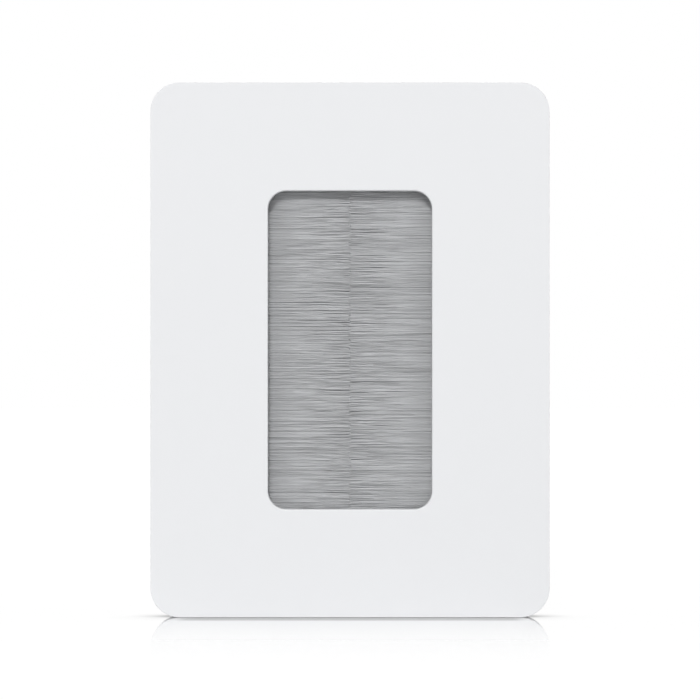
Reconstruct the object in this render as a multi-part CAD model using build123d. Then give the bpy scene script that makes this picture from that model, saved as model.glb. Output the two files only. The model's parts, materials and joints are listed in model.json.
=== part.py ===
from build123d import *
import os

# Cable pass-through wall plate: a screwless cover on a frame that holds two brush strips.
# All sizes are in millimetres.
# X runs to the right seen from the front, Y runs into the wall and Z runs up.
# The wall is the plane Y = 0, and the origin is midway between the two box screws.

# Wall box
BOX_SCREW_SPACING = 83.3
OPENING_TO_SCREW = 7.6

# Face plate
PLATE_WIDTH = 85.3
PLATE_HEIGHT = 114.3
PLATE_CORNER_RADIUS = 6.2
PLATE_EDGE_RADIUS = 0.15
FACE_WALL = 2.2
SKIRT_WALL = 1.8
OPENING_WIDTH = 35.1
OPENING_CORNER_RADIUS = 3.9
OPENING_EDGE_BREAK = 0.15
COLLAR_WALL = 1.2
COLLAR_STANDOFF = 0.2
PRY_NOTCH_WIDTH = 9.0
PRY_NOTCH_DEPTH = 1.1

# Snaps between the face plate and the frame
SNAP_SPACING = 60.0
SNAP_WIDTH = 8.0
SNAP_LENGTH = 1.8
SNAP_LAND = 0.4
SNAP_BITE = 0.6
SNAP_SETBACK = 3.4
SNAP_CLEARANCE = 0.2

# Mounting frame
FRAME_CLEARANCE = 0.3
FRAME_SKIN = 1.2
FRAME_RIM = 1.6
RIM_LEAD_IN = 0.4
RIB_WALL = 1.2
RIB_RECESS = 0.4
COLLAR_CLEARANCE = 0.2
SIDE_RIB_COUNT = 3
BOSS_RADIUS = 2.6
WELL_FLOOR = 2.0
WELL_CLEARANCE = 0.95
SLOT_LENGTH = 7.0
SLOT_WIDTH = 3.3

# Brush strips
BRUSH_OVERLAP = 2.0
END_CLEARANCE = 0.15
MOUTH_SETBACK = 0.4
CHANNEL_HEIGHT = 3.2
CHANNEL_DEPTH = 4.2
CHANNEL_SHEET = 0.5
CHANNEL_BEND = 0.5
LIP_LENGTH = 1.2
MOUTH_OPENING = 1.6
BUNDLE_CLEARANCE = 0.05
FOLD_WALL = 0.4
TIP_INSET = 0.2
TIP_GAP = 0.2
TUFT_COUNT = 56
TUFT_GAP = 0.4
TUFT_ROOT = 0.8

# Clamp bars and their screws
CLAMP_THICKNESS = 1.2
CLAMP_WALL_GAP = 0.2
CLAMP_INNER_SETBACK = 0.5
CLAMP_EDGE = 3.0
CLAMP_CORNER_RADIUS = 2.0
CLAMP_SCREW_SETBACK = 3.8
CLAMP_SCREW_SPACING = 52.0
CLAMP_SCREW_LENGTH = 4.0
CLAMP_SCREW_RADIUS = 1.0
CLAMP_HEAD_RADIUS = 1.9
CLAMP_HEAD_HEIGHT = 0.9
SCREW_CLEARANCE = 0.05
PILOT_SPARE = 0.3

# Box screws
BOX_SCREW_RADIUS = 1.75
BOX_SCREW_REACH = 20.0
BOX_SCREW_POINT = 0.8
BOX_NECK_RADIUS = 1.45
BOX_HEAD_RADIUS = 3.3
BOX_HEAD_HEIGHT = 2.2
BOX_HEAD_ROUND = 0.8

# Depths, found by stacking the pieces up from the wall
wall_y = 0.0
clamp_back_y = wall_y - CLAMP_WALL_GAP
clamp_front_y = clamp_back_y - CLAMP_THICKNESS
brush_y = clamp_front_y - CHANNEL_HEIGHT / 2
skin_back_y = clamp_front_y - CHANNEL_HEIGHT
skin_front_y = skin_back_y - FRAME_SKIN
front_y = skin_front_y - FACE_WALL
collar_end_y = skin_back_y - COLLAR_STANDOFF
well_floor_y = wall_y - WELL_FLOOR
rib_back_y = wall_y - RIB_RECESS
snap_catch_y = wall_y - SNAP_SETBACK

# Distances out from the centre line
opening_height = BOX_SCREW_SPACING - 2 * OPENING_TO_SCREW
window_margin = COLLAR_WALL + COLLAR_CLEARANCE
mouth_x = OPENING_WIDTH / 2 + window_margin + MOUTH_SETBACK
channel_back_x = mouth_x + CHANNEL_DEPTH
rail_x = channel_back_x + END_CLEARANCE
clamp_screw_x = channel_back_x + CLAMP_SCREW_SETBACK
clamp_inner_x = mouth_x + CLAMP_INNER_SETBACK
clamp_outer_x = clamp_screw_x + CLAMP_EDGE
tip_x = TIP_GAP / 2
tuft_root_x = mouth_x - TUFT_ROOT
brush_half = opening_height / 2 + BRUSH_OVERLAP
end_wall_z = brush_half + END_CLEARANCE
box_screw_z = BOX_SCREW_SPACING / 2

# Skirt and rim, one inside the other
skirt_half_x = PLATE_WIDTH / 2 - SKIRT_WALL
skirt_half_z = PLATE_HEIGHT / 2 - SKIRT_WALL
skirt_radius = PLATE_CORNER_RADIUS - SKIRT_WALL
rim_half_x = skirt_half_x - FRAME_CLEARANCE
rim_half_z = skirt_half_z - FRAME_CLEARANCE
rim_radius = skirt_radius - FRAME_CLEARANCE
bay_half_x = rim_half_x - FRAME_RIM
bay_half_z = rim_half_z - FRAME_RIM
bay_radius = rim_radius - FRAME_RIM

# Brush strip section
fold_radius = CHANNEL_HEIGHT / 2 - CHANNEL_SHEET - BUNDLE_CLEARANCE
wire_radius = fold_radius - FOLD_WALL - BUNDLE_CLEARANCE
wire_x = channel_back_x - CHANNEL_SHEET - BUNDLE_CLEARANCE - fold_radius
neck_half = MOUTH_OPENING / 2 - BUNDLE_CLEARANCE
tip_half = CHANNEL_HEIGHT / 2 - TIP_INSET


def slab(width, height, radius, front, back):
    """Upright slab with rounded corners, centred on the origin, between two depths."""
    outline = Plane.XZ.offset(-back) * RectangleRounded(width, height, radius)
    return extrude(outline, amount=back - front)


def level_slot(width, height, z, front, back):
    """Level slot shape with round ends, centred at one height, between two depths."""
    outline = Plane.XZ.offset(-back) * Pos(0, z) * SlotOverall(width, height)
    return extrude(outline, amount=back - front)


def upright_wall(start, end, front, back):
    """Thin wall that follows a line drawn on the frame's skin, between two depths."""
    outline = Plane.XZ.offset(-back) * trace(Line(start, end), line_width=RIB_WALL)
    return extrude(outline, amount=back - front, dir=(0, -1, 0))


def block(x_low, x_high, y_low, y_high, z_low, z_high):
    """Plain block between two corners."""
    middle = Pos((x_low + x_high) / 2, (y_low + y_high) / 2, (z_low + z_high) / 2)
    return middle * Box(x_high - x_low, y_high - y_low, z_high - z_low)


def turned(points):
    """Solid turned about the Y axis from points of radius and depth."""
    return revolve(Polygon(*points, align=None), axis=Axis.Y)


def strip(section):
    """Length of brush strip from a section across it."""
    return extrude(section, amount=brush_half, both=True)


def around_the_rim(side_piece, end_piece):
    """Copies at each snap: two on each long side, one at the top and one at the bottom."""
    copies = []
    for turn in (0, 180):
        for height in (-SNAP_SPACING / 2, SNAP_SPACING / 2):
            copies.append(Rot(0, turn, 0) * Pos(0, 0, height) * side_piece)
    for turn in (90, -90):
        copies.append(Rot(0, turn, 0) * end_piece)
    return copies


def snap_barb(wall_distance):
    """Barb on the inside of a skirt wall: square at the front, ramped at the back."""
    rooted = wall_distance + SKIRT_WALL / 2
    crest = wall_distance - FRAME_CLEARANCE - SNAP_BITE
    foot_y = snap_catch_y + SNAP_LENGTH
    points = [
        (rooted, snap_catch_y),
        (crest, snap_catch_y),
        (crest, snap_catch_y + SNAP_LAND),
        (wall_distance, foot_y),
        (rooted, foot_y),
    ]
    return extrude(Polygon(*points, align=None), amount=SNAP_WIDTH / 2, both=True)


def snap_window(rim_distance):
    """Hole through a rim wall that a barb catches in."""
    half = SNAP_WIDTH / 2 + SNAP_CLEARANCE
    y_low = snap_catch_y - SNAP_CLEARANCE
    y_high = snap_catch_y + SNAP_LENGTH + SNAP_CLEARANCE
    return block(rim_distance - FRAME_RIM, rim_distance + FRAME_CLEARANCE, y_low, y_high, -half, half)


def make_face_plate():
    """White cover: a flat face, a skirt back to the wall, and a collar round the brush opening."""
    body = slab(PLATE_WIDTH, PLATE_HEIGHT, PLATE_CORNER_RADIUS, front_y, wall_y)
    body = fillet(body.faces().sort_by(Axis.Y)[0].edges(), PLATE_EDGE_RADIUS)
    body -= slab(2 * skirt_half_x, 2 * skirt_half_z, skirt_radius, skin_front_y, wall_y)

    # The collar hides the raw edge of the frame's window and the roots of the bristles
    collar_width = OPENING_WIDTH + 2 * COLLAR_WALL
    collar_height = opening_height + 2 * COLLAR_WALL
    collar_radius = OPENING_CORNER_RADIUS + COLLAR_WALL
    body += slab(collar_width, collar_height, collar_radius, front_y + FACE_WALL / 2, collar_end_y)
    body -= slab(OPENING_WIDTH, opening_height, OPENING_CORNER_RADIUS, front_y, collar_end_y)
    opening_edges = body.faces().sort_by(Axis.Y)[0].inner_wires()[0].edges()
    body = chamfer(opening_edges, OPENING_EDGE_BREAK)

    # Barbs that snap into the frame, and a notch to pry the cover off again
    body += around_the_rim(snap_barb(skirt_half_x), snap_barb(skirt_half_z))
    notch_half = PRY_NOTCH_WIDTH / 2
    body -= block(-notch_half, notch_half, wall_y - PRY_NOTCH_DEPTH, wall_y, -PLATE_HEIGHT / 2, -skirt_half_z)
    return body


def make_mounting_frame():
    """Moulded tray screwed to the box: skin, rim, brush rails, screw wells, bosses and ribs."""
    tray = slab(2 * rim_half_x, 2 * rim_half_z, rim_radius, skin_front_y, wall_y)
    tray = chamfer(tray.faces().sort_by(Axis.Y)[0].edges(), RIM_LEAD_IN)
    tray -= slab(2 * bay_half_x, 2 * bay_half_z, bay_radius, skin_back_y, wall_y)

    # Every inner wall is rooted halfway into the skin or the rim
    root_y = skin_back_y - FRAME_SKIN / 2
    side_root = bay_half_x + FRAME_RIM / 2
    end_root = bay_half_z + FRAME_RIM / 2
    inner_rail_x = rail_x + RIB_WALL / 2
    outer_rail_x = clamp_outer_x - RIB_WALL / 2
    rib_step_x = clamp_outer_x + END_CLEARANCE
    end_middle_z = end_wall_z + RIB_WALL / 2
    well_half_z = BOX_HEAD_RADIUS + WELL_CLEARANCE
    well_half_x = well_half_z + (SLOT_LENGTH - SLOT_WIDTH) / 2
    cup_half_z = well_half_z + RIB_WALL
    cup_half_x = well_half_x + RIB_WALL
    walls = []
    for side in (Rot(0, 0, 0), Rot(0, 180, 0)):
        # Two rails that seat the channel and carry the clamp bar
        for x in (inner_rail_x, outer_rail_x):
            walls.append(side * upright_wall((x, -end_wall_z), (x, end_wall_z), root_y, clamp_front_y))
        # Ribs from the outer rail to the rim, stepped down beside the clamp bar
        for number in range(SIDE_RIB_COUNT):
            z = end_wall_z * (2 * (number + 1) / (SIDE_RIB_COUNT + 1) - 1)
            walls.append(side * upright_wall((outer_rail_x, z), (side_root, z), root_y, clamp_front_y))
            walls.append(side * upright_wall((rib_step_x, z), (side_root, z), root_y, rib_back_y))
        # Bosses for the clamp screws
        boss = turned([(0, root_y), (BOSS_RADIUS, root_y), (BOSS_RADIUS, clamp_front_y), (0, clamp_front_y)])
        for z in (-CLAMP_SCREW_SPACING / 2, CLAMP_SCREW_SPACING / 2):
            walls.append(side * Pos(clamp_screw_x, 0, z) * boss)
        # Wall from rim to rim across the ends of both strips, and ribs from it out to the rim
        end_wall = upright_wall((-side_root, end_middle_z), (side_root, end_middle_z), root_y, rib_back_y)
        walls.append(side * end_wall)
        for x in (-outer_rail_x, -outer_rail_x / 2, outer_rail_x / 2, outer_rail_x):
            walls.append(side * upright_wall((x, end_middle_z), (x, end_root), root_y, rib_back_y))
        walls.append(side * upright_wall((0, box_screw_z + well_half_z), (0, end_root), root_y, rib_back_y))
        # Cup round the head of the box screw
        walls.append(side * level_slot(2 * cup_half_x, 2 * cup_half_z, box_screw_z, root_y, wall_y))
    body = tray + walls

    # Window for the collar and the bristles
    window_width = OPENING_WIDTH + 2 * window_margin
    window_height = opening_height + 2 * window_margin
    window_radius = OPENING_CORNER_RADIUS + window_margin
    cuts = [slab(window_width, window_height, window_radius, skin_front_y, skin_back_y)]
    for side in (Rot(0, 0, 0), Rot(0, 180, 0)):
        # Well for the screw head and a level slot for its neck
        well = level_slot(2 * well_half_x, 2 * well_half_z, box_screw_z, skin_front_y, well_floor_y)
        slot = level_slot(SLOT_LENGTH, SLOT_WIDTH, box_screw_z, well_floor_y, wall_y)
        cuts.append(side * well)
        cuts.append(side * slot)
        # Blind pilot holes for the clamp screws
        pilot_radius = CLAMP_SCREW_RADIUS + SCREW_CLEARANCE
        pilot_end_y = clamp_back_y - CLAMP_SCREW_LENGTH - PILOT_SPARE
        pilot = turned([(0, pilot_end_y), (pilot_radius, pilot_end_y), (pilot_radius, wall_y), (0, wall_y)])
        for z in (-CLAMP_SCREW_SPACING / 2, CLAMP_SCREW_SPACING / 2):
            cuts.append(side * Pos(clamp_screw_x, 0, z) * pilot)
    cuts += around_the_rim(snap_window(rim_half_x), snap_window(rim_half_z))
    return body - cuts


def make_channel():
    """Right-hand channel: folded sheet metal, crimped in at the mouth to grip the bristles."""
    side_half = (CHANNEL_HEIGHT - CHANNEL_SHEET) / 2
    lip_half = (MOUTH_OPENING + CHANNEL_SHEET) / 2
    web_x = channel_back_x - CHANNEL_SHEET / 2
    points = [
        (mouth_x, brush_y - lip_half),
        (mouth_x + LIP_LENGTH, brush_y - side_half),
        (web_x, brush_y - side_half),
        (web_x, brush_y + side_half),
        (mouth_x + LIP_LENGTH, brush_y + side_half),
        (mouth_x, brush_y + lip_half),
    ]
    path = FilletPolyline(*points, radius=CHANNEL_BEND)
    return strip(trace(path, line_width=CHANNEL_SHEET))


def make_core_wire():
    """Right-hand core wire, which the bristles are folded round."""
    return strip(Pos(wire_x, brush_y) * Circle(wire_radius))


def comb(gap_heights, front, back):
    """Plan of one layer of tufts, with a narrow wedge between neighbours."""
    points = [(channel_back_x, -brush_half), (tip_x, -brush_half)]
    for z in gap_heights:
        points.append((tip_x, z - TUFT_GAP / 2))
        points.append((tuft_root_x, z))
        points.append((tip_x, z + TUFT_GAP / 2))
    points.append((tip_x, brush_half))
    points.append((channel_back_x, brush_half))
    outline = Plane.XZ.offset(-back) * Polygon(*points, align=None)
    return extrude(outline, amount=back - front, dir=(0, -1, 0))


def make_bristles():
    """Right-hand bristles: folded round the wire, pinched at the mouth, fanned out in two layers of tufts."""
    outline = [
        (tip_x, brush_y - tip_half),
        (mouth_x, brush_y - neck_half),
        (wire_x, brush_y - fold_radius),
        (wire_x, brush_y + fold_radius),
        (mouth_x, brush_y + neck_half),
        (tip_x, brush_y + tip_half),
    ]
    section = Polygon(*outline, align=None)
    section += Pos(wire_x, brush_y) * Circle(fold_radius)
    section -= Pos(wire_x, brush_y) * Circle(wire_radius + BUNDLE_CLEARANCE)

    # The back layer's gaps lie behind the middles of the front layer's tufts, so no gap goes right through
    pitch = 2 * brush_half / TUFT_COUNT
    front_gaps = [pitch * number - brush_half for number in range(1, TUFT_COUNT)]
    back_gaps = [pitch * (number + 0.5) - brush_half for number in range(TUFT_COUNT)]
    front_layer = comb(front_gaps, brush_y - CHANNEL_HEIGHT / 2, brush_y)
    back_layer = comb(back_gaps, brush_y, brush_y + CHANNEL_HEIGHT / 2)
    return strip(section) & (front_layer + back_layer)


def clamp_screw_profile(clearance):
    """Half outline of a countersunk screw, or of the hole for it when a clearance is given."""
    tip_y = clamp_back_y - CLAMP_SCREW_LENGTH
    radius = CLAMP_SCREW_RADIUS + clearance
    return [
        (0, clamp_back_y),
        (CLAMP_HEAD_RADIUS + clearance, clamp_back_y),
        (radius, clamp_back_y - CLAMP_HEAD_HEIGHT),
        (radius, tip_y),
        (0, tip_y),
    ]


def make_clamp_bar():
    """Right-hand bar that holds the channel in its seat from behind."""
    width = clamp_outer_x - clamp_inner_x
    bar = slab(width, 2 * brush_half, CLAMP_CORNER_RADIUS, clamp_front_y, clamp_back_y)
    bar = Pos((clamp_inner_x + clamp_outer_x) / 2, 0, 0) * bar
    for z in (-CLAMP_SCREW_SPACING / 2, CLAMP_SCREW_SPACING / 2):
        bar -= Pos(clamp_screw_x, 0, z) * turned(clamp_screw_profile(SCREW_CLEARANCE))
    return bar


def make_clamp_screws():
    """Four countersunk screws, flush with the backs of the clamp bars."""
    screw = turned(clamp_screw_profile(0))
    screws = []
    for x in (-clamp_screw_x, clamp_screw_x):
        for z in (-CLAMP_SCREW_SPACING / 2, CLAMP_SCREW_SPACING / 2):
            screws.append(Pos(x, 0, z) * screw)
    return Compound(children=screws)


def make_box_screws():
    """Two box screws, with a thin neck that stays captive in the frame's slot."""
    head_y = well_floor_y - BOX_HEAD_HEIGHT
    profile = [
        (0, head_y),
        (BOX_HEAD_RADIUS - BOX_HEAD_ROUND, head_y),
        (BOX_HEAD_RADIUS, head_y + BOX_HEAD_ROUND),
        (BOX_HEAD_RADIUS, well_floor_y),
        (BOX_NECK_RADIUS, well_floor_y),
        (BOX_NECK_RADIUS, wall_y),
        (BOX_SCREW_RADIUS, wall_y),
        (BOX_SCREW_RADIUS, BOX_SCREW_REACH - BOX_SCREW_POINT),
        (BOX_SCREW_RADIUS - BOX_SCREW_POINT, BOX_SCREW_REACH),
        (0, BOX_SCREW_REACH),
    ]
    screw = turned(profile)
    screws = []
    for z in (-box_screw_z, box_screw_z):
        screws.append(Pos(0, 0, z) * screw)
    return Compound(children=screws)


# Build every piece, mirror the right-hand ones to the left, and write one file for each
pieces = {
    "face_plate": make_face_plate(),
    "mounting_frame": make_mounting_frame(),
    "clamp_screws": make_clamp_screws(),
    "box_screws": make_box_screws(),
}
handed_pieces = {
    "brush_channel": make_channel(),
    "core_wire": make_core_wire(),
    "bristles": make_bristles(),
    "clamp_bar": make_clamp_bar(),
}
for name, shape in handed_pieces.items():
    pieces["right_" + name] = shape
    pieces["left_" + name] = mirror(shape, about=Plane.YZ)

os.makedirs("parts", exist_ok=True)
for name, shape in pieces.items():
    export_step(shape, "parts/" + name + ".step")
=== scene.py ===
import json
import math

import bmesh
import bpy
from mathutils import Matrix, Vector


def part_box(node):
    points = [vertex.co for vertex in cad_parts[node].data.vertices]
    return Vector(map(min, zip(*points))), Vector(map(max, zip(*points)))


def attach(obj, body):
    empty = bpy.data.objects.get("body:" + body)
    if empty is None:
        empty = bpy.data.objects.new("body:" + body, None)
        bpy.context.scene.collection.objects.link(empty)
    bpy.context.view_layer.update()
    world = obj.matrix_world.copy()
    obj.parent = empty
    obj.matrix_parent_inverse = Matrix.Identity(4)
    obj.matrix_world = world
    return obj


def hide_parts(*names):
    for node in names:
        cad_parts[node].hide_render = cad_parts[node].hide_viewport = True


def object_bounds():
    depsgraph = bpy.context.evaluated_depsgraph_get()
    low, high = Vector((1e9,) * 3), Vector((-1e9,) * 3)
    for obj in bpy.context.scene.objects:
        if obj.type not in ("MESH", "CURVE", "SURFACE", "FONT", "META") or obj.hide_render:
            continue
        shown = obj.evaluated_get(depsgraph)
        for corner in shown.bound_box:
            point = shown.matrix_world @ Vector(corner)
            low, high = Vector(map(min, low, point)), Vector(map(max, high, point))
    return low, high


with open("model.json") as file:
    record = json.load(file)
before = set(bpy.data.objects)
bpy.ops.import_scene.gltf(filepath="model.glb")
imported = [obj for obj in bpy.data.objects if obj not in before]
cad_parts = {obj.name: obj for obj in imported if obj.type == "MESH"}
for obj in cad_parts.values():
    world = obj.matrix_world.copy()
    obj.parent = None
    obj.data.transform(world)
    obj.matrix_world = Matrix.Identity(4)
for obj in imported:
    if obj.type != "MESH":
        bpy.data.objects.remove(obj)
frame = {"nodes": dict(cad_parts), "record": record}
cad_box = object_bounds()

# Cable pass-through wall plate, dressed for its portrait: a white cover, and two brush strips behind it.
# Lengths are in metres in the frame of the solids: X to the right, Y into the wall and Z up.
MM = 0.001

# Picture: the plate's height and middle in the photograph, in its pixels
IMAGE_PIXELS = 700
PLATE_PIXELS = 534.9
PLATE_MIDDLE_X = 350.0
PLATE_MIDDLE_Y = 349.95
SENSOR_WIDTH = 36.0
CAMERA_DISTANCE = 0.85
CLIP_DISTANCE = 10 * CAMERA_DISTANCE

# Studio light, with its angles in degrees: a key in front, a lamp behind, and a fill from all round
KEY_STRENGTH = 1.53
KEY_SIDE = -4.0
KEY_HEIGHT = 25.5
KEY_SOFTNESS = 14.0
BACK_STRENGTH = 0.6
BACK_SIDE = 205.0
BACK_HEIGHT = 45.0
BACK_SOFTNESS = 40.0
FILL_STRENGTH = 0.19
FILL_SIDES = 0.8
FILL_LEFT = 0.06

# Table that the plate stands on
TABLE_SIZE = 6.0
TABLE_DROP = 0.02 * MM
TABLE_GLOW = 1.06
TABLE_LIT_SHARE = 0.12

# Contact shadow on the table: a band along the plate's flat foot, and a smear under its round corners.
# Each is full where the open share of the sky is down to its SHUT value, and leaves its LEVEL of light.
PLATE_CORNER_RADIUS = 6.2 * MM
SHADOW_SAMPLES = 16
CONTACT_REACH = 12.0 * MM
CONTACT_TILT = math.radians(45)
CONTACT_SHUT = 0.6
CONTACT_LEVEL = 0.59
CONTACT_FADE = 5.0 * MM
CONTACT_FADED = 0.94
CORNER_REACH = 6.5 * MM
CORNER_SHUT = 0.2
CORNER_SPREAD = 0.65
CORNER_LEVEL = 0.56

# Polish of the table: it is full this far out from the plate, and halves with each further step
POLISH_REACH = 15.0 * MM
POLISH_HALVING = 30.0 * MM
POLISH_GAIN = 1.25

# Bristles: hairpins of nylon filament folded round the core wire in layers, drawn coarser than the real ones
HAIRPIN_LAYERS = 8
LAYER_STRIDE = 3
LAYER_SCATTER = 0.6
LAYER_CROWDING = 1.3
HAIRPIN_PITCH = 0.31 * MM
HAIRPIN_JITTER = 3.0
HAIRPIN_LEG_POINTS = 8
FILAMENT_RADIUS = 0.1 * MM
FILAMENT_SIDES = 3
STRIP_END_GAP = 2 * FILAMENT_RADIUS
NECK_HALF = 0.68 * MM
LEFT_SEED = 11
RIGHT_SEED = 47

# How the filaments bend, gather and end
STRAND_SPREAD = 1000.0
FILAMENT_BENDS = 3.5
FILAMENT_WAVER = 0.42 * MM
FILAMENT_WEAVE = 0.46 * MM
WEAVE_GROWTH = 1.25
FILAMENT_LEAN = 0.22 * MM
CLUMP_WIDTH = 0.6 * MM
CLUMP_PULL = 0.4 * MM
LOOSE_POWER = 3.0
TIP_SCATTER = 0.6 * MM
TIP_STEP = 0.5 * MM
TIP_OVERLAP = 0.75 * MM

# Painted shade in the filaments' colour: the light left near their roots, as in the shadow of the cover's
# opening, and at their cut tips, as in the gaps between them
ROOT_SHADE_SHARE = 0.35
ROOT_SHADE_LIGHT = 0.83
TIP_SHADE_SHARE = 0.78
TIP_SHADE_LIGHT = 0.94

# Copies of the solids, with their sharp edges eased
MERGE_DISTANCE = 0.001 * MM
FLAT_ANGLE = math.radians(0.5)
SHARP_ANGLE = math.radians(32)
FLAT_WEIGHT = 100
EASE_SEGMENTS = 2
MOULDED_EASE = 0.12 * MM
SHEET_EASE = 0.08 * MM
WIRE_EASE = 0.05 * MM
BAR_EASE = 0.15 * MM

# Screws: sizes that the solids' boxes don't give. A recess is its reach, half width and depth.
TURNED_STEPS = 32
RIM_STEPS = 5
THREAD_STEPS = 16
RIDGE_SIDES = 4
BOX_HEAD_HEIGHT = 2.2 * MM
BOX_HEAD_ROUND = 0.8 * MM
BOX_NECK_RADIUS = 1.45 * MM
BOX_NECK_LENGTH = 2.0 * MM
BOX_POINT = 0.8 * MM
BOX_PITCH = 0.794 * MM
BOX_THREAD_DEPTH = 0.39 * MM
BOX_RECESS = (1.47 * MM, 0.295 * MM, 1.3 * MM)
CLAMP_HEAD_RADIUS = 1.9 * MM
CLAMP_HEAD_HEIGHT = 0.9 * MM
CLAMP_HEAD_RIM = 0.1 * MM
CLAMP_SCREW_RADIUS = 1.0 * MM
CLAMP_PITCH = 0.7 * MM
CLAMP_THREAD_DEPTH = 0.28 * MM
CLAMP_RECESS = (0.89 * MM, 0.17 * MM, 0.7 * MM)
RECESS_TAPER = 0.71


def linear(hex_colour):
    """Linear colour from an sRGB hex value."""
    levels = [int(hex_colour[start:start + 2], 16) / 255 for start in (0, 2, 4)]
    return [v / 12.92 if v <= 0.04045 else ((v + 0.055) / 1.055) ** 2.4 for v in levels] + [1.0]


def add(tree, kind, inputs=None, **settings):
    """Adds a node with its settings; an input is a value, or a socket or node that is linked to it."""
    node = tree.nodes.new(kind)
    for name, value in settings.items():
        setattr(node, name, value)
    live = [socket for socket in node.inputs if socket.enabled]
    for name, value in (inputs or {}).items():
        socket = live[name] if isinstance(name, int) else next(s for s in live if s.name == name)
        if isinstance(value, bpy.types.Node):
            value = next(output for output in value.outputs if output.enabled)
        if isinstance(value, bpy.types.NodeSocket):
            tree.links.new(value, socket)
        else:
            socket.default_value = value
    return node


def new_material(name):
    """Empty material and its node tree."""
    material = bpy.data.materials.new(name)
    material.use_nodes = True
    material.node_tree.nodes.clear()
    return material, material.node_tree


def moulded_polycarbonate():
    """White polycarbonate from a spark-eroded mould: an even satin white, softened by a fine grain."""
    # The grain is drawn coarser than the real one, so that it shows
    grain_size = 0.3 * MM
    material, tree = new_material("moulded_white_polycarbonate")
    place = add(tree, "ShaderNodeTexCoord").outputs["Object"]
    grain = add(tree, "ShaderNodeTexNoise", {"Vector": place, "Scale": 1 / grain_size, "Detail": 1.0})
    bump = add(tree, "ShaderNodeBump", {"Strength": 0.12, "Distance": 0.02 * MM, "Height": grain})
    roughness = add(tree, "ShaderNodeMapRange", {"Value": grain, "To Min": 0.40, "To Max": 0.50})
    shader = add(tree, "ShaderNodeBsdfPrincipled", {
        "Base Color": linear("EAEBED"), "Roughness": roughness, "IOR": 1.58, "Normal": bump})
    add(tree, "ShaderNodeOutputMaterial", {"Surface": shader})
    return material


def moulded_abs():
    """Grey ABS as it leaves the mould: flatter than the cover, a little uneven where the melt flowed."""
    # The grain is drawn coarser than the real one, so that it shows
    grain_size = 0.25 * MM
    flow_size = 14.0 * MM
    material, tree = new_material("moulded_grey_abs")
    place = add(tree, "ShaderNodeTexCoord").outputs["Object"]
    grain = add(tree, "ShaderNodeTexNoise", {"Vector": place, "Scale": 1 / grain_size, "Detail": 1.0})
    flow = add(tree, "ShaderNodeTexNoise", {
        "Vector": place, "Scale": 1 / flow_size, "Detail": 2.0, "Distortion": 1.5})
    colour = add(tree, "ShaderNodeMix", {
        "Factor": flow, "A": linear("BEC0C2"), "B": linear("CACCCE")}, data_type="RGBA")
    roughness = add(tree, "ShaderNodeMapRange", {"Value": flow, "To Min": 0.42, "To Max": 0.58})
    bump = add(tree, "ShaderNodeBump", {"Strength": 0.2, "Distance": 0.02 * MM, "Height": grain})
    shader = add(tree, "ShaderNodeBsdfPrincipled", {
        "Base Color": colour, "Roughness": roughness, "IOR": 1.54, "Normal": bump})
    add(tree, "ShaderNodeOutputMaterial", {"Surface": shader})
    return material


def galvanised_sheet():
    """Hot-dipped zinc on folded steel: crystals a few millimetres wide, each with a sheen of its own."""
    spangle_size = 2.5 * MM
    material, tree = new_material("galvanised_steel_sheet")
    place = add(tree, "ShaderNodeTexCoord").outputs["Object"]
    spangle = add(tree, "ShaderNodeTexVoronoi", {"Vector": place, "Scale": 1 / spangle_size})
    shade = add(tree, "ShaderNodeSeparateColor", {0: spangle.outputs["Color"]}).outputs["Red"]
    colour = add(tree, "ShaderNodeMix", {
        "Factor": shade, "A": linear("B9BCBF"), "B": linear("D2D4D6")}, data_type="RGBA")
    roughness = add(tree, "ShaderNodeMapRange", {"Value": shade, "To Min": 0.30, "To Max": 0.48})
    shader = add(tree, "ShaderNodeBsdfPrincipled", {
        "Base Color": colour, "Metallic": 1.0, "Roughness": roughness})
    add(tree, "ShaderNodeOutputMaterial", {"Surface": shader})
    return material


def lined_metal(name, dark, light, line_width, line_length, roughness):
    """Bare or plated metal with fine lines along the length of the piece, drawn wide enough to show."""
    roughness_spread = 0.1
    material, tree = new_material(name)
    place = add(tree, "ShaderNodeTexCoord").outputs["Object"]
    stretched = add(tree, "ShaderNodeMapping", {
        "Vector": place, "Scale": (1 / line_width, 1 / line_width, 1 / line_length)})
    lines = add(tree, "ShaderNodeTexNoise", {"Vector": stretched, "Scale": 1.0, "Detail": 2.0})
    colour = add(tree, "ShaderNodeMix", {
        "Factor": lines, "A": linear(dark), "B": linear(light)}, data_type="RGBA")
    uneven = add(tree, "ShaderNodeMapRange", {
        "Value": lines, "To Min": roughness - roughness_spread, "To Max": roughness + roughness_spread})
    bump = add(tree, "ShaderNodeBump", {"Strength": 0.15, "Distance": 0.01 * MM, "Height": lines})
    shader = add(tree, "ShaderNodeBsdfPrincipled", {
        "Base Color": colour, "Metallic": 1.0, "Roughness": uneven, "Normal": bump})
    add(tree, "ShaderNodeOutputMaterial", {"Surface": shader})
    return material


def plated_screw_steel():
    """Screw steel barrel-plated with zinc: bright and slightly blue, with dull specks from the tumbling."""
    speck_size = 0.35 * MM
    material, tree = new_material("zinc_plated_screw_steel")
    place = add(tree, "ShaderNodeTexCoord").outputs["Object"]
    specks = add(tree, "ShaderNodeTexNoise", {"Vector": place, "Scale": 1 / speck_size, "Detail": 3.0})
    colour = add(tree, "ShaderNodeMix", {
        "Factor": specks, "A": linear("BFC3C9"), "B": linear("DADDE2")}, data_type="RGBA")
    roughness = add(tree, "ShaderNodeMapRange", {"Value": specks, "To Min": 0.20, "To Max": 0.40})
    shader = add(tree, "ShaderNodeBsdfPrincipled", {
        "Base Color": colour, "Metallic": 1.0, "Roughness": roughness})
    add(tree, "ShaderNodeOutputMaterial", {"Surface": shader})
    return material


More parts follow.
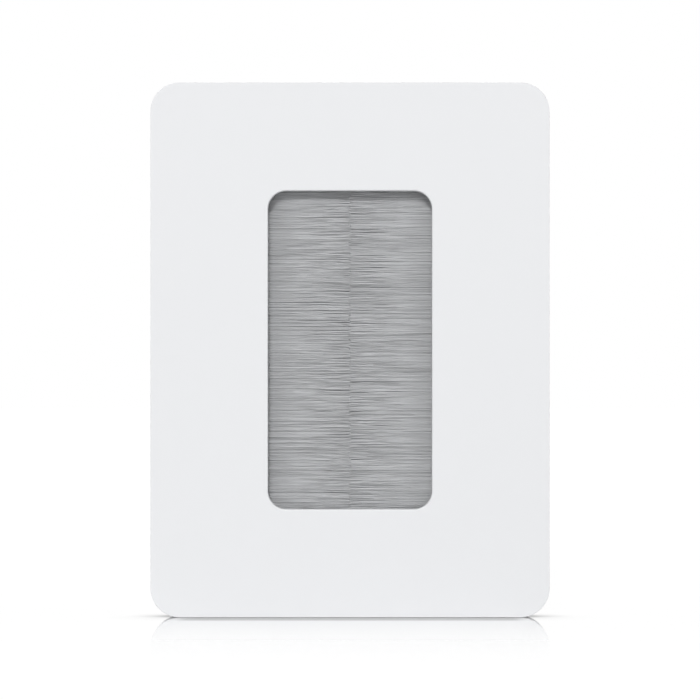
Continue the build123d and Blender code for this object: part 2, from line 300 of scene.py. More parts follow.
def nylon_filament():
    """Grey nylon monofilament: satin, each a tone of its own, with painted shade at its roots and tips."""
    material, tree = new_material("grey_nylon_filament")
    tone = add(tree, "ShaderNodeAttribute", attribute_name="tone").outputs["Fac"]
    colour = add(tree, "ShaderNodeMix", {
        "Factor": tone, "A": linear("CACBCD"), "B": linear("D1D2D4")}, data_type="RGBA")
    free = add(tree, "ShaderNodeAttribute", attribute_name="free").outputs["Fac"]
    # Painted shade: the colour is darkened towards the roots and at the tips of the filaments
    painted_root_shade = add(tree, "ShaderNodeMapRange", {
        "Value": free, "From Max": ROOT_SHADE_SHARE, "To Min": ROOT_SHADE_LIGHT})
    painted_tip_shade = add(tree, "ShaderNodeMapRange", {
        "Value": free, "From Min": TIP_SHADE_SHARE, "To Min": 1.0, "To Max": TIP_SHADE_LIGHT})
    light = add(tree, "ShaderNodeMath", {0: painted_root_shade, 1: painted_tip_shade}, operation="MULTIPLY")
    colour = add(tree, "ShaderNodeVectorMath", {0: colour, "Scale": light}, operation="SCALE")
    shader = add(tree, "ShaderNodeBsdfPrincipled", {"Base Color": colour, "Roughness": 0.42, "IOR": 1.53})
    add(tree, "ShaderNodeOutputMaterial", {"Surface": shader})
    return material


def place_piece(name, mesh):
    """Object at the origin that holds a mesh."""
    piece = bpy.data.objects.new(name, mesh)
    bpy.context.scene.collection.objects.link(piece)
    return piece


def apply_modifiers(piece):
    """Gives a piece the plain mesh that its modifiers make."""
    evaluated = piece.evaluated_get(bpy.context.evaluated_depsgraph_get())
    mesh = bpy.data.meshes.new_from_object(evaluated)
    piece.modifiers.clear()
    piece.data = mesh


def hand_over(piece, node):
    """Puts a finished piece on the root body and hides the solid that it stands for."""
    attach(piece, "root")
    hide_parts(node)


def smooth_mesh(name, shape):
    """Mesh of a finished shape, smooth along its curves and sharp at its edges."""
    mesh = bpy.data.meshes.new(name)
    shape.to_mesh(mesh)
    shape.free()
    mesh.shade_smooth()
    mesh.set_sharp_from_angle(angle=SHARP_ANGLE)
    return mesh


def ease_solid(node, name, ease, material):
    """Copy of a solid with its flat facets joined and its sharp edges eased, which stands for it."""
    shape = bmesh.new()
    shape.from_mesh(frame["nodes"][node].data)
    bmesh.ops.remove_doubles(shape, verts=shape.verts, dist=MERGE_DISTANCE)
    bmesh.ops.dissolve_limit(shape, angle_limit=FLAT_ANGLE, verts=shape.verts, edges=shape.edges)
    mesh = smooth_mesh(name, shape)
    mesh.materials.append(material)
    piece = place_piece(name, mesh)
    bevel = piece.modifiers.new("eased_edges", "BEVEL")
    bevel.width = ease
    bevel.segments = EASE_SEGMENTS
    bevel.limit_method = "ANGLE"
    bevel.angle_limit = SHARP_ANGLE
    normals = piece.modifiers.new("flat_faces", "WEIGHTED_NORMAL")
    normals.weight = FLAT_WEIGHT
    normals.keep_sharp = True
    apply_modifiers(piece)
    hand_over(piece, node)


def new_tree(name, inputs):
    """Empty geometry tree with named inputs and one mesh output."""
    tree = bpy.data.node_groups.new(name, "GeometryNodeTree")
    tree.interface.new_socket("Piece", in_out="OUTPUT", socket_type="NodeSocketGeometry")
    for label, kind in inputs.items():
        tree.interface.new_socket(label, in_out="INPUT", socket_type="NodeSocket" + kind)
    return tree


def grow_piece(name, tree, values, start=None):
    """Piece whose plain mesh comes from a geometry tree with these values for its named inputs."""
    piece = place_piece(name, start or bpy.data.meshes.new(name))
    modifier = piece.modifiers.new("shape", "NODES")
    modifier.node_group = tree
    for socket in tree.interface.items_tree:
        if socket.name in values:
            modifier[socket.identifier] = values[socket.name]
    apply_modifiers(piece)
    return piece


def scatter_hairpins(tree, size):
    """Straight hairpins, one for each jittered place along the wire, each in another layer than the last."""
    index = add(tree, "GeometryNodeInputIndex")
    jitter = add(tree, "FunctionNodeRandomValue", {"Seed": size["Seed"]}, data_type="FLOAT")
    order = add(tree, "ShaderNodeMath", {0: index, 1: size["Layer stride"]}, operation="MULTIPLY")
    order = add(tree, "ShaderNodeMath", {0: order, 1: size["Layers"]}, operation="MODULO")
    number = add(tree, "ShaderNodeMath", {0: jitter, 1: size["Jitter"], 2: index}, operation="MULTIPLY_ADD")
    share = add(tree, "ShaderNodeMath", {0: number, 1: size["Hairpins"]}, operation="DIVIDE")
    from_middle = add(tree, "ShaderNodeMath", {0: share, 1: 0.5}, operation="SUBTRACT")
    height = add(tree, "ShaderNodeMath", {0: from_middle, 1: size["Strip length"]}, operation="MULTIPLY")
    points = add(tree, "GeometryNodePoints", {"Count": size["Hairpins"]})
    marks = (("hairpin", index, "INT"), ("height", height, "FLOAT"), ("order", order, "FLOAT"))
    for name, value, kind in marks:
        points = add(tree, "GeometryNodeStoreNamedAttribute", {
            "Geometry": points, "Name": name, "Value": value}, data_type=kind, domain="POINT")
    line = add(tree, "GeometryNodeCurvePrimitiveLine", {"End": (1.0, 0.0, 0.0)})
    line = add(tree, "GeometryNodeResampleCurve", {"Curve": line, "Count": 2 * HAIRPIN_LEG_POINTS + 1})
    hairpins = add(tree, "GeometryNodeInstanceOnPoints", {"Points": points, "Instance": line})
    return add(tree, "GeometryNodeRealizeInstances", {"Geometry": hairpins})


def bend_hairpins(tree, size):
    """Place of each point on a bent hairpin, its tone, how far it is free of the channel, and its roll."""
    # Way along the hairpin: -1 at the front tip, 0 behind the wire and 1 at the back tip
    factor = add(tree, "GeometryNodeSplineParameter").outputs["Factor"]
    along = add(tree, "ShaderNodeMath", {0: factor, 1: 2.0, 2: -1.0}, operation="MULTIPLY_ADD")
    away = add(tree, "ShaderNodeMath", {0: along}, operation="ABSOLUTE")
    bend_share = 1 / HAIRPIN_LEG_POINTS
    run = add(tree, "ShaderNodeMapRange", {"Value": away, "From Min": bend_share})
    turn = add(tree, "ShaderNodeMapRange", {
        "Value": along, "From Min": -bend_share, "From Max": bend_share,
        "To Min": -math.pi / 2, "To Max": math.pi / 2})
    cosine = add(tree, "ShaderNodeMath", {0: turn}, operation="COSINE")
    sine = add(tree, "ShaderNodeMath", {0: turn}, operation="SINE")

    # Chances drawn once for each hairpin and once for each of its two legs
    hairpin = add(tree, "GeometryNodeInputNamedAttribute", {"Name": "hairpin"}, data_type="INT")
    root = add(tree, "GeometryNodeInputNamedAttribute", {"Name": "height"}, data_type="FLOAT")
    order = add(tree, "GeometryNodeInputNamedAttribute", {"Name": "order"}, data_type="FLOAT")
    behind = add(tree, "ShaderNodeMath", {0: along, 1: 0.0}, operation="GREATER_THAN")
    leg = add(tree, "ShaderNodeMath", {0: hairpin, 1: 2.0, 2: behind}, operation="MULTIPLY_ADD")
    second_seed = add(tree, "ShaderNodeMath", {0: size["Seed"], 1: 1.0}, operation="ADD")
    third_seed = add(tree, "ShaderNodeMath", {0: size["Seed"], 1: 2.0}, operation="ADD")
    fold_draw = add(tree, "FunctionNodeRandomValue", {"ID": hairpin, "Seed": second_seed}, data_type="FLOAT")
    first_draw = add(tree, "FunctionNodeRandomValue", {
        "ID": leg, "Seed": second_seed}, data_type="FLOAT_VECTOR")
    other_draw = add(tree, "FunctionNodeRandomValue", {
        "ID": leg, "Seed": third_seed}, data_type="FLOAT_VECTOR")
    scatter, tone, lean = add(tree, "ShaderNodeSeparateXYZ", {0: first_draw}).outputs
    roll, strand, bend_phase = add(tree, "ShaderNodeSeparateXYZ", {0: other_draw}).outputs

    # How far out a hairpin lies: 1 on the strip's surface, and near 0 in its middle
    buried = add(tree, "ShaderNodeMath", {
        0: fold_draw, 1: size["Layer scatter"], 2: order}, operation="MULTIPLY_ADD")
    buried = add(tree, "ShaderNodeMath", {0: buried, 1: size["Layers"]}, operation="DIVIDE")
    buried = add(tree, "ShaderNodeMath", {0: buried, 1: size["Crowding"]}, operation="POWER")
    depth = add(tree, "ShaderNodeMath", {0: 1.0, 1: buried}, operation="SUBTRACT")

    # Distance from the centre line: round the wire, then straight to the tip
    bend = add(tree, "ShaderNodeMapRange", {
        "Value": depth, "To Min": size["Inner bend"], "To Max": size["Outer bend"]})
    tip = add(tree, "ShaderNodeMath", {
        0: depth, 1: size["Tip step"], 2: size["Tip distance"]}, operation="MULTIPLY_ADD")
    tip = add(tree, "ShaderNodeMath", {0: scatter, 1: size["Tip scatter"], 2: tip}, operation="MULTIPLY_ADD")
    leg_x = add(tree, "ShaderNodeMapRange", {"Value": run, "To Min": size["Wire distance"], "To Max": tip})
    bent_x = add(tree, "ShaderNodeMath", {0: bend, 1: cosine, 2: leg_x}, operation="MULTIPLY_ADD")
    x = add(tree, "ShaderNodeMath", {0: bent_x, 1: size["Side"]}, operation="MULTIPLY")

    # Distance from the strip's middle layer: pinched at the channel's mouth, fanned out at the tips
    neck_y = add(tree, "ShaderNodeMath", {0: depth, 1: size["Neck half"]}, operation="MULTIPLY")
    tip_y = add(tree, "ShaderNodeMath", {0: depth, 1: size["Tip half"]}, operation="MULTIPLY")
    fan_y = add(tree, "ShaderNodeMath", {0: tip_y, 1: neck_y}, operation="SUBTRACT")
    pinch = add(tree, "ShaderNodeMapRange", {
        "Value": leg_x, "From Min": size["Wire distance"], "From Max": size["Mouth distance"],
        "To Min": bend, "To Max": neck_y})
    free = add(tree, "ShaderNodeMapRange", {
        "Value": leg_x, "From Min": size["Mouth distance"], "From Max": size["Tip distance"]})
    spread = add(tree, "ShaderNodeMath", {0: free, 1: fan_y, 2: pinch}, operation="MULTIPLY_ADD")

    # Each leg bends to and fro in a way of its own: it dips between its neighbours, and wavers up and down
    strand = add(tree, "ShaderNodeMath", {0: strand, 1: STRAND_SPREAD}, operation="MULTIPLY")
    bends = add(tree, "ShaderNodeMath", {0: free, 1: size["Bends"], 2: bend_phase}, operation="MULTIPLY_ADD")
    bend_place = add(tree, "ShaderNodeCombineXYZ", {"X": strand, "Y": bends})
    wander = add(tree, "ShaderNodeTexNoise", {"Vector": bend_place, "Scale": 1.0, "Detail": 0.0})
    wander = add(tree, "ShaderNodeVectorMath", {
        0: wander.outputs["Color"], 1: (0.5, 0.5, 0.5)}, operation="SUBTRACT")
    wander = add(tree, "ShaderNodeSeparateXYZ", {0: wander}).outputs
    woven = add(tree, "ShaderNodeMath", {
        0: free, 1: size["Weave growth"]}, operation="MULTIPLY", use_clamp=True)
    dip = add(tree, "ShaderNodeMath", {0: wander["X"], 1: size["Weave"]}, operation="MULTIPLY")
    waver = add(tree, "ShaderNodeMath", {0: wander["Y"], 1: size["Waver"]}, operation="MULTIPLY")
    spread = add(tree, "ShaderNodeMath", {0: dip, 1: woven, 2: spread}, operation="MULTIPLY_ADD")
    spread = add(tree, "ShaderNodeMath", {0: spread, 1: size["Tip half"]}, operation="MINIMUM")
    y = add(tree, "ShaderNodeMath", {0: sine, 1: spread, 2: size["Depth"]}, operation="MULTIPLY_ADD")

    # Height: filaments lean and gather into clumps, more so towards their tips
    loose = add(tree, "ShaderNodeMath", {0: free, 1: size["Loose power"]}, operation="POWER")
    loose = add(tree, "ShaderNodeMath", {0: loose, 1: depth}, operation="MULTIPLY")
    clump = add(tree, "ShaderNodeMath", {0: root, 1: size["Clump width"]}, operation="DIVIDE")
    clump_place = add(tree, "ShaderNodeCombineXYZ", {"X": clump, "Y": free, "Z": depth})
    pull = add(tree, "ShaderNodeTexNoise", {"Vector": clump_place, "Scale": 1.0, "Detail": 1.0})
    pull = add(tree, "ShaderNodeMath", {0: pull, 1: 0.5}, operation="SUBTRACT")
    pull = add(tree, "ShaderNodeMath", {0: pull, 1: size["Clump pull"]}, operation="MULTIPLY")
    lean = add(tree, "ShaderNodeMath", {0: lean, 1: 0.5}, operation="SUBTRACT")
    sway = add(tree, "ShaderNodeMath", {0: lean, 1: size["Lean"], 2: pull}, operation="MULTIPLY_ADD")
    z = add(tree, "ShaderNodeMath", {0: sway, 1: loose, 2: root}, operation="MULTIPLY_ADD")
    z = add(tree, "ShaderNodeMath", {0: waver, 1: woven, 2: z}, operation="MULTIPLY_ADD")
    place = add(tree, "ShaderNodeCombineXYZ", {"X": x, "Y": y, "Z": z})
    roll = add(tree, "ShaderNodeMath", {0: roll, 1: 2 * math.pi}, operation="MULTIPLY")
    return place, tone, free, roll


def bristle_tree():
    """Brush strip of hairpins: each runs from a tip round the core wire and back to a tip behind."""
    tree = new_tree("folded_bristles", {
        "Hairpins": "Int", "Layers": "Int", "Layer stride": "Int", "Layer scatter": "Float",
        "Crowding": "Float", "Jitter": "Float", "Strip length": "Float", "Side": "Float", "Depth": "Float",
        "Wire distance": "Float", "Inner bend": "Float", "Outer bend": "Float", "Mouth distance": "Float",
        "Neck half": "Float", "Tip distance": "Float", "Tip half": "Float", "Filament radius": "Float",
        "Bends": "Float", "Waver": "Float", "Weave": "Float", "Weave growth": "Float", "Lean": "Float",
        "Clump width": "Float", "Clump pull": "Float", "Loose power": "Float", "Tip scatter": "Float",
        "Tip step": "Float", "Seed": "Int", "Filament": "Material"})
    size = add(tree, "NodeGroupInput").outputs
    hairpins = scatter_hairpins(tree, size)
    place, tone, free, roll = bend_hairpins(tree, size)
    hairpins = add(tree, "GeometryNodeSetPosition", {"Geometry": hairpins, "Position": place})
    for name, value in (("tone", tone), ("free", free)):
        hairpins = add(tree, "GeometryNodeStoreNamedAttribute", {
            "Geometry": hairpins, "Name": name, "Value": value}, data_type="FLOAT", domain="POINT")

    # Round each hairpin out to a filament, rolled to a chance angle
    hairpins = add(tree, "GeometryNodeSetCurveTilt", {"Curve": hairpins, "Tilt": roll})
    section = add(tree, "GeometryNodeCurvePrimitiveCircle", {
        "Resolution": FILAMENT_SIDES, "Radius": size["Filament radius"]})
    filaments = add(tree, "GeometryNodeCurveToMesh", {
        "Curve": hairpins, "Profile Curve": section, "Fill Caps": True})
    filaments = add(tree, "GeometryNodeSetShadeSmooth", {"Geometry": filaments})
    filaments = add(tree, "GeometryNodeRealizeInstances", {"Geometry": filaments})
    filaments = add(tree, "GeometryNodeSetMaterial", {"Geometry": filaments, "Material": size["Filament"]})
    add(tree, "NodeGroupOutput", {"Piece": filaments})
    return tree


def make_bristles(material):
    """Left and right brush strips in place of the plain tufted solids."""
    tree = bristle_tree()
    low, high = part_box("right_bristles")
    wire_low, wire_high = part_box("right_core_wire")
    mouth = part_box("right_brush_channel")[0].x
    wire_radius = (wire_high.x - wire_low.x) / 2
    wire_distance = (wire_high.x + wire_low.x) / 2
    length = high.z - low.z - 2 * STRIP_END_GAP
    values = {
        "Hairpins": HAIRPIN_LAYERS * round(length / HAIRPIN_PITCH),
        "Layers": HAIRPIN_LAYERS,
        "Layer stride": LAYER_STRIDE,
        "Layer scatter": LAYER_SCATTER,
        "Crowding": LAYER_CROWDING,
        "Jitter": HAIRPIN_JITTER,
        "Strip length": length,
        "Depth": (low.y + high.y) / 2,
        "Wire distance": wire_distance,
        "Inner bend": wire_radius + FILAMENT_RADIUS,
        "Outer bend": high.x - wire_distance - FILAMENT_RADIUS,
        "Mouth distance": mouth,
        "Neck half": NECK_HALF - FILAMENT_RADIUS,
        "Tip distance": -TIP_OVERLAP,
        "Tip half": (high.y - low.y) / 2 - FILAMENT_RADIUS,
        "Filament radius": FILAMENT_RADIUS,
        "Bends": FILAMENT_BENDS,
        "Waver": FILAMENT_WAVER,
        "Weave": FILAMENT_WEAVE,
        "Weave growth": WEAVE_GROWTH,
        "Lean": FILAMENT_LEAN,
        "Clump width": CLUMP_WIDTH,
        "Clump pull": CLUMP_PULL,
        "Loose power": LOOSE_POWER,
        "Tip scatter": TIP_SCATTER,
        "Tip step": TIP_STEP,
        "Filament": material,
    }
    for hand, side, seed in (("left", -1.0, LEFT_SEED), ("right", 1.0, RIGHT_SEED)):
        brush = grow_piece(hand + "_nylon_bristles", tree, {**values, "Side": side, "Seed": seed})
        hand_over(brush, hand + "_bristles")


def sides_of(ring):
    """Pairs of neighbours round a closed ring of points."""
    return zip(ring, ring[1:] + ring[:1])


def add_wall(shape, ring, next_ring):
    """Wall of four-sided faces between two rings with as many points."""
    for side, next_side in zip(sides_of(ring), sides_of(next_ring)):
        shape.faces.new((*side, *reversed(next_side)))


def turn_screw(name, profile, end, recess):
    """Screw turned about the Y axis through points of radius and depth, with a cross recess in its top."""
    shape = bmesh.new()
    turns = [Matrix.Rotation(2 * math.pi * step / TURNED_STEPS, 3, "Y") for step in range(TURNED_STEPS)]
    rings = [[shape.verts.new(turn @ Vector((radius, y, 0))) for turn in turns] for radius, y in profile]
    for ring, next_ring in zip(rings, rings[1:]):
        add_wall(shape, ring, next_ring)
    tip = shape.verts.new((0, end, 0))
    for side in sides_of(rings[-1]):
        shape.faces.new((*side, tip))

    # The top is closed round the mouth of the cross, whose walls taper in to its floor
    reach, half_width, depth = recess
    outline = []
    for quarter in range(4):
        turn = Matrix.Rotation(-quarter * math.pi / 2, 3, "Y")
        for x, z in ((reach, -half_width), (reach, half_width), (half_width, half_width)):
            outline.append(turn @ Vector((x, 0, z)))
    mouth = [shape.verts.new(corner) for corner in outline]
    floor = [shape.verts.new(corner * RECESS_TAPER + Vector((0, depth, 0))) for corner in outline]
    add_wall(shape, mouth, floor)
    shape.faces.new(floor)
    open_top = [shape.edges.get(side) for ring in (rings[0], mouth) for side in sides_of(ring)]
    bmesh.ops.triangle_fill(shape, edges=open_top, use_beauty=True)
    bmesh.ops.recalc_face_normals(shape, faces=shape.faces)
    return smooth_mesh(name, shape)


def screw_tree():
    """Rows of one screw: a helical ridge is laid on its shank, and the whole is copied to each place."""
    tree = new_tree("threaded_screws", {
        "Blank": "Geometry", "Core radius": "Float", "Thread depth": "Float", "Pitch": "Float",
        "Turns": "Float", "Thread start": "Vector", "Facing": "Vector", "First": "Vector", "Columns": "Int",
        "Column step": "Vector", "Rows": "Int", "Row step": "Vector", "Finish": "Material"})
    size = add(tree, "NodeGroupInput").outputs

    # Thread: a ridge of diamond section along a helix, run out to nothing at both ends
    rise = add(tree, "ShaderNodeMath", {0: size["Turns"], 1: size["Pitch"]}, operation="MULTIPLY")
    helix = add(tree, "GeometryNodeCurveSpiral", {
        "Resolution": THREAD_STEPS, "Rotations": size["Turns"], "Start Radius": size["Core radius"],
        "End Radius": size["Core radius"], "Height": rise})
    helix = add(tree, "GeometryNodeSetCurveNormal", {"Curve": helix}, mode="Z_UP")
    factor = add(tree, "GeometryNodeSplineParameter").outputs["Factor"]
    back = add(tree, "ShaderNodeMath", {0: 1.0, 1: factor}, operation="SUBTRACT")
    nearest = add(tree, "ShaderNodeMath", {0: factor, 1: back}, operation="MINIMUM")
    run_out = add(tree, "ShaderNodeMath", {
        0: nearest, 1: size["Turns"]}, operation="MULTIPLY", use_clamp=True)
    ridge = add(tree, "GeometryNodeCurvePrimitiveCircle", {
        "Resolution": RIDGE_SIDES, "Radius": size["Thread depth"]})
    thread = add(tree, "GeometryNodeCurveToMesh", {
        "Curve": helix, "Profile Curve": ridge, "Scale": run_out, "Fill Caps": True})
    thread = add(tree, "GeometryNodeMergeByDistance", {"Geometry": thread, "Distance": MERGE_DISTANCE})
    thread = add(tree, "GeometryNodeTransform", {
        "Geometry": thread, "Translation": size["Thread start"], "Rotation": (-math.pi / 2, 0.0, 0.0)})
    screw = add(tree, "GeometryNodeJoinGeometry", {"Geometry": size["Blank"]})
    tree.links.new(thread.outputs["Geometry"], screw.inputs["Geometry"])

    # Copies of the screw along columns and rows
    column = add(tree, "GeometryNodeMeshLine", {
        "Count": size["Columns"], "Start Location": size["First"], "Offset": size["Column step"]})
    screws = add(tree, "GeometryNodeInstanceOnPoints", {
        "Points": column, "Instance": screw, "Rotation": size["Facing"]})
    row = add(tree, "GeometryNodeMeshLine", {"Count": size["Rows"], "Offset": size["Row step"]})
    screws = add(tree, "GeometryNodeInstanceOnPoints", {"Points": row, "Instance": screws})
    screws = add(tree, "GeometryNodeRealizeInstances", {"Geometry": screws})
    screws = add(tree, "GeometryNodeSetMaterial", {"Geometry": screws, "Material": size["Finish"]})
    add(tree, "NodeGroupOutput", {"Piece": screws})
    return tree


def make_box_screws(tree, material):
    """Two long machine screws with round cross-head tops, captive in the frame by their thin necks."""
    low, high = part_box("box_screws")
    head_radius = (high.x - low.x) / 2
    mount = next(m for m in frame["record"]["mounts"] if m["name"] == "box_screw_pair")
    crest_radius = mount["dims"]["stud_r_mm"] * MM
    core_radius = crest_radius - BOX_THREAD_DEPTH
    length = high.y - low.y
    shank_start = BOX_HEAD_HEIGHT + BOX_NECK_LENGTH
    profile = []
    for step in range(RIM_STEPS + 1):
        turn = math.pi / 2 * step / RIM_STEPS
        profile.append((
            head_radius - BOX_HEAD_ROUND * (1 - math.sin(turn)), BOX_HEAD_ROUND * (1 - math.cos(turn))))
    profile += [
        (head_radius, BOX_HEAD_HEIGHT),
        (BOX_NECK_RADIUS, BOX_HEAD_HEIGHT),
        (BOX_NECK_RADIUS, shank_start),
        (core_radius, shank_start + BOX_PITCH),
        (core_radius, length - BOX_POINT),
        (crest_radius - BOX_POINT, length),
    ]
    blank = turn_screw("box_screw_blank", profile, length, BOX_RECESS)
    threaded = length - shank_start - BOX_POINT
    screws = grow_piece("cross_head_box_screws", tree, {
        "Core radius": core_radius,
        "Thread depth": BOX_THREAD_DEPTH,
        "Pitch": BOX_PITCH,
        "Turns": (threaded - BOX_PITCH) / BOX_PITCH,
        "Thread start": (0, shank_start + BOX_PITCH / 2, 0),
        "Facing": (0, 0, 0),
        "First": (0, low.y, low.z + head_radius),
        "Columns": 1,
        "Column step": (0, 0, 0),
        "Rows": 2,
        "Row step": (0, 0, high.z - low.z - 2 * head_radius),
        "Finish": material,
    }, blank)
    hand_over(screws, "box_screws")


def make_clamp_screws(tree, material):
    """Four countersunk screws that hold the clamp bars, flush with the bars' backs."""
    low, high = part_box("clamp_screws")
    core_radius = CLAMP_SCREW_RADIUS - CLAMP_THREAD_DEPTH
    length = high.y - low.y
    profile = [
        (CLAMP_HEAD_RADIUS - CLAMP_HEAD_RIM, 0),
        (CLAMP_HEAD_RADIUS, CLAMP_HEAD_RIM),
        (CLAMP_SCREW_RADIUS, CLAMP_HEAD_HEIGHT),
        (core_radius, CLAMP_HEAD_HEIGHT + CLAMP_THREAD_DEPTH),
        (core_radius, length - CLAMP_THREAD_DEPTH),
    ]
    blank = turn_screw("clamp_screw_blank", profile, length, CLAMP_RECESS)
    threaded = length - CLAMP_HEAD_HEIGHT - 2 * CLAMP_THREAD_DEPTH
    screws = grow_piece("countersunk_clamp_screws", tree, {
        "Core radius": core_radius,
        "Thread depth": CLAMP_THREAD_DEPTH,
        "Pitch": CLAMP_PITCH,
        "Turns": threaded / CLAMP_PITCH,
        "Thread start": (0, CLAMP_HEAD_HEIGHT + CLAMP_THREAD_DEPTH, 0),
        "Facing": (math.pi, 0, 0),
        "First": (low.x + CLAMP_HEAD_RADIUS, high.y, low.z + CLAMP_HEAD_RADIUS),
        "Columns": 2,
        "Column step": (high.x - low.x - 2 * CLAMP_HEAD_RADIUS, 0, 0),
        "Rows": 2,
        "Row step": (0, 0, high.z - low.z - 2 * CLAMP_HEAD_RADIUS),
        "Finish": material,
    }, blank)
    hand_over(screws, "clamp_screws")


def white_in_view(tree):
    """Factor of 1 for what shows, also mirrored or through glass, and 0 for light that lands on things."""
    path = add(tree, "ShaderNodeLightPath").outputs
    seen = add(tree, "ShaderNodeMath", {
        0: path["Is Camera Ray"], 1: path["Is Glossy Ray"]}, operation="MAXIMUM")
    return add(tree, "ShaderNodeMath", {0: seen, 1: path["Is Transmission Ray"]}, operation="MAXIMUM")


def make_world():
    """White surround that fills the shadows softly, brighter at the sides and most of all at the left."""
    world = bpy.data.worlds.new("white_studio")
    world.use_nodes = True
    tree = world.node_tree
    tree.nodes.clear()
    shown = add(tree, "ShaderNodeBackground", {"Color": linear("FFFFFF"), "Strength": 1.0})
    direction = add(tree, "ShaderNodeTexCoord").outputs["Generated"]
    sideways = add(tree, "ShaderNodeSeparateXYZ", {0: direction}).outputs["X"]
    slope = add(tree, "ShaderNodeMath", {
        0: sideways, 1: FILL_SIDES, 2: -FILL_LEFT}, operation="MULTIPLY_ADD")
    strength = add(tree, "ShaderNodeMath", {
        0: sideways, 1: slope, 2: FILL_STRENGTH}, operation="MULTIPLY_ADD")
    fill = add(tree, "ShaderNodeBackground", {"Color": linear("FFFFFF"), "Strength": strength})
    both = add(tree, "ShaderNodeMixShader", {0: white_in_view(tree), 1: fill, 2: shown})
    add(tree, "ShaderNodeOutputWorld", {"Surface": both})
    bpy.context.scene.world = world


def contact_shade(tree, sideways):
    """Share of light left on the table beside the plate."""
    # Band along the flat foot, which fades under the round corners
    towards_plate = (0.0, math.sin(CONTACT_TILT), math.cos(CONTACT_TILT))
    tilted = add(tree, "ShaderNodeCombineXYZ", dict(zip("XYZ", towards_plate)))
    band = add(tree, "ShaderNodeAmbientOcclusion", {
        "Distance": CONTACT_REACH, "Normal": tilted}, samples=SHADOW_SAMPLES)
    flat_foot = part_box("face_plate")[1].x - PLATE_CORNER_RADIUS
    foot = add(tree, "ShaderNodeMath", {0: sideways}, operation="ABSOLUTE")
    foot = add(tree, "ShaderNodeMapRange", {
        "Value": foot, "From Min": flat_foot - CONTACT_FADE / 2, "From Max": flat_foot + CONTACT_FADE / 2,
        "To Min": CONTACT_LEVEL, "To Max": CONTACT_FADED}, interpolation_type="SMOOTHSTEP")
    band = add(tree, "ShaderNodeMapRange", {
        "Value": band.outputs["AO"], "From Min": CONTACT_SHUT, "To Min": foot})

    # Small smear under the round corners
    smear = add(tree, "ShaderNodeAmbientOcclusion", {"Distance": CORNER_REACH}, samples=SHADOW_SAMPLES)
    smear = add(tree, "ShaderNodeMapRange", {"Value": smear.outputs["AO"], "From Min": CORNER_SHUT})
    smear = add(tree, "ShaderNodeMath", {0: smear, 1: CORNER_SPREAD}, operation="POWER")
    smear = add(tree, "ShaderNodeMapRange", {"Value": smear, "To Min": CORNER_LEVEL})
    return add(tree, "ShaderNodeMath", {0: band, 1: smear}, operation="MINIMUM")


def polish_share(tree, across):
    """Share of light that the table mirrors, less away from the plate, in front of it and behind it."""
    low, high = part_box("face_plate")
    full_polish = (high.y - low.y) / 2 + POLISH_REACH
    away = add(tree, "ShaderNodeMath", {0: across, 1: (low.y + high.y) / 2}, operation="SUBTRACT")
    away = add(tree, "ShaderNodeMath", {0: away}, operation="ABSOLUTE")
    away = add(tree, "ShaderNodeMath", {0: away, 1: full_polish}, operation="SUBTRACT")
    halvings = add(tree, "ShaderNodeMath", {0: away, 1: POLISH_HALVING}, operation="DIVIDE")
    polish = add(tree, "ShaderNodeMath", {0: 0.5, 1: halvings}, operation="POWER", use_clamp=True)
    sheen = add(tree, "ShaderNodeFresnel", {"IOR": 1.45})
    sheen = add(tree, "ShaderNodeMath", {0: sheen, 1: polish}, operation="MULTIPLY")
    return add(tree, "ShaderNodeMath", {0: sheen, 1: POLISH_GAIN}, operation="MULTIPLY", use_clamp=True)


def glossy_table():
    """Glossy white lacquer: it mirrors the plate, and is darker where the plate shuts out the light."""
    material, tree = new_material("glossy_white_table")
    place = add(tree, "ShaderNodeTexCoord").outputs["Object"]
    spot = add(tree, "ShaderNodeSeparateXYZ", {0: place}).outputs
    shade = contact_shade(tree, spot["X"])
    in_view = white_in_view(tree)

    # The table throws back light as any white one does, but is nearly all plain white where it is seen
    lit = add(tree, "ShaderNodeBsdfDiffuse", {"Color": linear("F6F6F6")})
    glow = add(tree, "ShaderNodeMath", {0: shade, 1: TABLE_GLOW}, operation="MULTIPLY")
    shown = add(tree, "ShaderNodeEmission", {"Color": linear("FFFFFF"), "Strength": glow})
    lifted = add(tree, "ShaderNodeMixShader", {0: 1 - TABLE_LIT_SHARE, 1: lit, 2: shown})
    base = add(tree, "ShaderNodeMixShader", {0: in_view, 1: lit, 2: lifted})

    # The polish only mirrors
    sheen = add(tree, "ShaderNodeMath", {0: polish_share(tree, spot["Y"]), 1: in_view}, operation="MULTIPLY")
    gloss = add(tree, "ShaderNodeBsdfGlossy", {"Color": shade, "Roughness": 0.03})
    surface = add(tree, "ShaderNodeMixShader", {0: sheen, 1: base, 2: gloss})
    add(tree, "ShaderNodeOutputMaterial", {"Surface": surface})
    return material


def make_table():
    """Wide flat table that the plate stands on."""
    mesh = bpy.data.meshes.new("table")
    half = TABLE_SIZE / 2
    z = cad_box[0].z - TABLE_DROP
    corners = [(-half, -half, z), (half, -half, z), (half, half, z), (-half, half, z)]
    mesh.from_pydata(corners, [], [(0, 1, 2, 3)])
    mesh.materials.append(glossy_table())
    place_piece("table", mesh)


def make_lamp(name, strength, softness, side, height):
    """Wide soft light from far away, at an angle round from the front and an angle up."""
    light = bpy.data.lights.new(name, "SUN")
    light.energy = strength
    light.angle = math.radians(softness)
    lamp = bpy.data.objects.new(name, light)
    turn = math.radians(side)
    rise = math.radians(height)
    source = Vector((math.sin(turn) * math.cos(rise), -math.cos(turn) * math.cos(rise), math.sin(rise)))
    lamp.rotation_euler = source.to_track_quat("Z", "Y").to_euler()
    lamp.location = source
    bpy.context.scene.collection.objects.link(lamp)


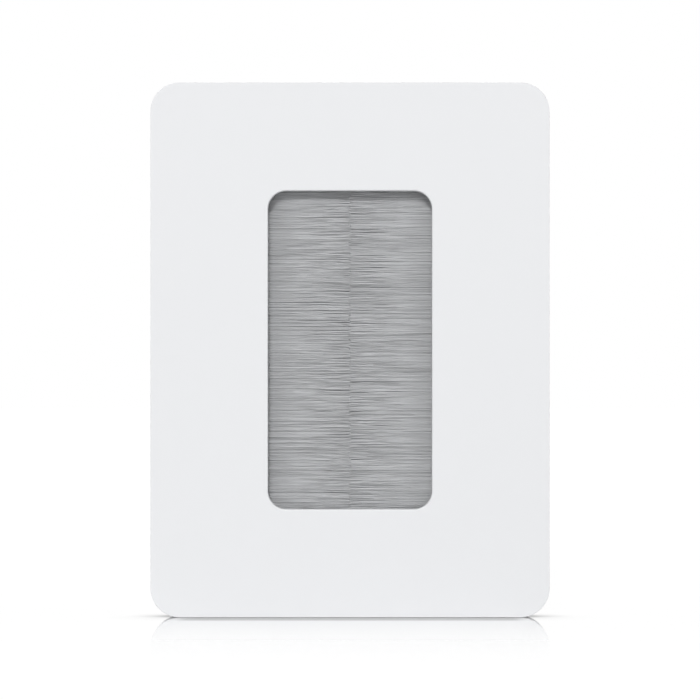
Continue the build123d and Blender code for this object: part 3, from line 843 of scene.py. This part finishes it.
def make_camera():
    """Long lens straight in front of the plate."""
    low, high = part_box("face_plate")
    pixel = (high.z - low.z) / PLATE_PIXELS
    middle = IMAGE_PIXELS / 2
    data = bpy.data.cameras.new("camera")
    data.sensor_width = SENSOR_WIDTH
    data.lens = SENSOR_WIDTH * CAMERA_DISTANCE / (IMAGE_PIXELS * pixel)
    data.clip_end = CLIP_DISTANCE
    camera = bpy.data.objects.new("camera", data)
    centre = (low + high) / 2
    across = centre.x + (middle - PLATE_MIDDLE_X) * pixel
    up = centre.z + (PLATE_MIDDLE_Y - middle) * pixel
    camera.location = (across, low.y - CAMERA_DISTANCE, up)
    camera.rotation_euler = (math.pi / 2, 0, 0)
    bpy.context.scene.collection.objects.link(camera)
    bpy.context.scene.camera = camera


# Moulded cover and frame
ease_solid("face_plate", "white_cover", MOULDED_EASE, moulded_polycarbonate())
ease_solid("mounting_frame", "moulded_frame", MOULDED_EASE, moulded_abs())

# Metal of the two brush strips: the folded channel, the wire in it, and the bar that clamps it
zinc_sheet = galvanised_sheet()
drawn_wire = lined_metal(
    "drawn_steel_wire", dark="B0B0B1", light="CBCBCC",
    line_width=0.08 * MM, line_length=6.0 * MM, roughness=0.35)
plated_bar = lined_metal(
    "zinc_plated_rolled_bar", dark="C3C6CC", light="D6D9DE",
    line_width=0.12 * MM, line_length=14.0 * MM, roughness=0.32)
for hand in ("left", "right"):
    ease_solid(hand + "_brush_channel", hand + "_folded_channel", SHEET_EASE, zinc_sheet)
    ease_solid(hand + "_core_wire", hand + "_drawn_wire", WIRE_EASE, drawn_wire)
    ease_solid(hand + "_clamp_bar", hand + "_rolled_bar", BAR_EASE, plated_bar)

# Bristles and screws
make_bristles(nylon_filament())
threaded_screws = screw_tree()
screw_finish = plated_screw_steel()
make_box_screws(threaded_screws, screw_finish)
make_clamp_screws(threaded_screws, screw_finish)

# Studio
make_world()
make_table()
make_lamp("key", KEY_STRENGTH, KEY_SOFTNESS, KEY_SIDE, KEY_HEIGHT)
make_lamp("back", BACK_STRENGTH, BACK_SOFTNESS, BACK_SIDE, BACK_HEIGHT)
make_camera()
bpy.context.scene.view_settings.view_transform = "Standard"
